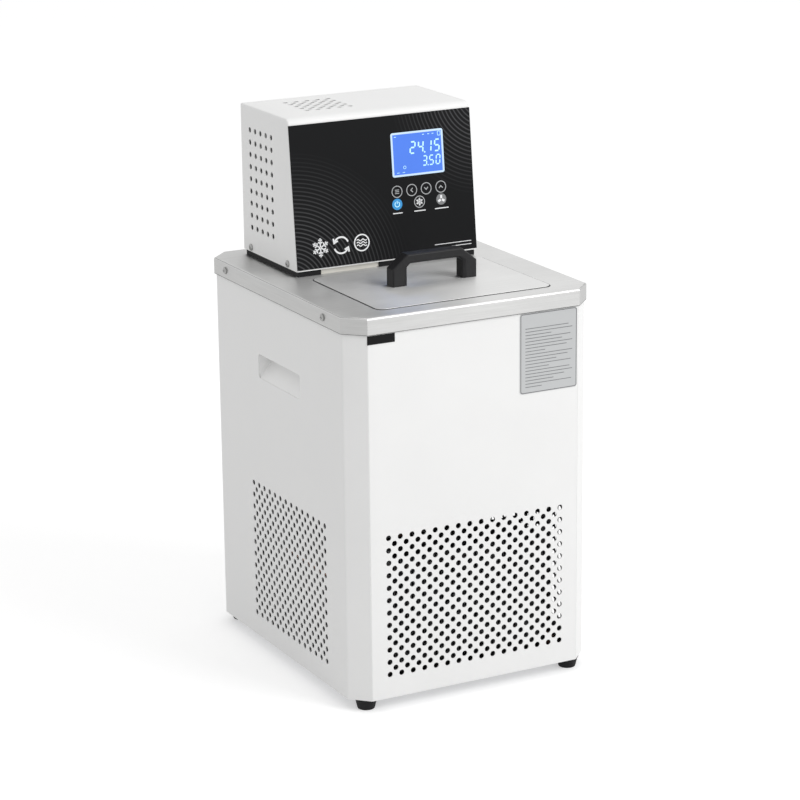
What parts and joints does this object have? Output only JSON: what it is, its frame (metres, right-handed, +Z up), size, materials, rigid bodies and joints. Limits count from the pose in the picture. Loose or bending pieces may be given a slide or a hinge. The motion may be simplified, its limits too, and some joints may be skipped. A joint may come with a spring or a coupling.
{
  "type": "recirculating chiller",
  "caption": "White bench chiller with vented cabinet, stainless deck, lift-off bath lid with bridge handle, and sloping black control head",
  "frame": {"origin": "on the supporting surface, under the middle of the whole part's footprint", "axes": "+Z up, the front with the vents and the display faces -Y, +X is the viewer's right"},
  "size_m": [0.3044, 0.3744, 0.6125],
  "materials": {
    "white_paint": "fine orange-peel white powder coat",
    "brushed_steel": "brushed stainless sheet",
    "bath_steel": "satin stainless sheet",
    "zinc_plate": "galvanised sheet",
    "black_rubber": "matte black rubber",
    "white_plastic": "moulded white plastic",
    "plate_grey": "printed plate, satin",
    "badge_black": "satin black plate",
    "black_plastic": "fine-grained black plastic",
    "overlay_black": "satin black printed sheet",
    "display_rim": "gloss white rim",
    "display_blue": "lit blue display",
    "key_print": "printed touch fields",
    "board_green": "printed board",
    "cream_strip": "pale spacer strip",
    "foam": "closed-cell foam",
    "copper": "drawn copper tube",
    "alloy": "aluminium fins",
    "pot_black": "black enamelled pot",
    "steel_shaft": "ground steel shaft",
    "screw_steel": "nickel-plated screws",
    "seal_grey": "silicone seal",
    "nozzle_steel": "turned stainless hose tail"
  },
  "bodies": {
    "chassis": {"base_pan": "zinc_plate", "rubber_feet": "black_rubber", "front_panel": "white_paint", "left_side_panel": "white_paint", "right_side_panel": "white_paint", "rear_panel": "white_paint", "deck": "brushed_steel", "flange_screws": "screw_steel", "left_grip_cup": "white_plastic", "right_grip_cup": "white_plastic", "info_plate": "plate_grey", "badge_plate": "badge_black", "tank": "bath_steel", "tank_foam": "foam", "tank_bridge": "zinc_plate", "cooling_coil": "bath_steel", "heater": "bath_steel", "temperature_probe": "bath_steel", "pump_column": "bath_steel", "pump_motor": "pot_black", "delivery_pipe": "bath_steel", "return_pipe": "bath_steel", "supply_nozzle": "nozzle_steel", "return_nozzle": "nozzle_steel", "head_cover": "white_paint", "head_base": "white_paint", "head_back": "white_paint", "head_pads": "black_rubber", "spacer_strip": "cream_strip", "panel_overlay": "overlay_black", "display_frame": "display_rim", "display_glass": "display_blue", "touch_keys": "key_print", "control_board": "board_green", "cover_screws": "screw_steel", "condenser": "alloy", "fan_shroud": "black_plastic", "fan_motor": "pot_black", "compressor": "pot_black", "compressor_mounts": "black_rubber", "filter_drier": "copper", "refrigerant_lines": "copper", "power_inlet": "black_plastic", "switch_frame": "black_plastic", "drain_nozzle": "nozzle_steel", "drain_pipe": "bath_steel"},
    "lid": {"lid": "brushed_steel", "lid_seal": "seal_grey", "lid_handle": "black_plastic", "handle_screws": "screw_steel"},
    "fan_rotor": {"fan_rotor": "black_plastic"},
    "pump_rotor": {"pump_shaft": "steel_shaft", "impeller": "black_plastic"},
    "switch_rocker": {"switch_rocker": "black_plastic"}
  },
  "joints": [
    {"name": "lid_lift", "type": "slide", "parent": "chassis", "child": "lid", "axis": [0, 0, 1], "range_m": [0, 0.2]},
    {"name": "fan_spin", "type": "hinge", "parent": "chassis", "child": "fan_rotor", "pos_m": [0, -0.1292, 0.0915], "axis": [0, 1, 0], "continuous": true},
    {"name": "pump_spin", "type": "hinge", "parent": "chassis", "child": "pump_rotor", "pos_m": [-0.052, 0.058, 0.33], "axis": [0, 0, 1], "continuous": true},
    {"name": "switch_rock", "type": "hinge", "parent": "chassis", "child": "switch_rocker", "pos_m": [-0.095, 0.1682, 0.108], "axis": [1, 0, 0], "range_deg": [0, 14]}
  ]
}
